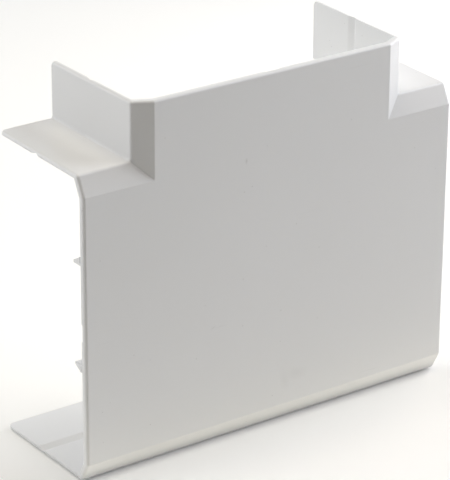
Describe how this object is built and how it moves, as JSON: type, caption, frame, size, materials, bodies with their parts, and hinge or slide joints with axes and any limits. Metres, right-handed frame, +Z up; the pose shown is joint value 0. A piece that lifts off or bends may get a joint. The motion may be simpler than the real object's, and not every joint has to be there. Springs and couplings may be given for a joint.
{
  "type": "trunking tee cover",
  "caption": "Moulded tee cover for wide wall trunking: bevelled flat front, drafted side walls with latching grooves, open back and open ends.",
  "frame": {"origin": "centre of the bounding box in X and Y, level with the lowest edge of the bottom wall", "axes": "+X along the straight run, +Y from the front panel back to the wall, +Z up the branch"},
  "size_m": [0.184, 0.062, 0.1595],
  "materials": {
    "white_plastic": "semi-gloss moulded white"
  },
  "bodies": {
    "root": {"tee_cover": "white_plastic"}
  },
  "joints": []
}
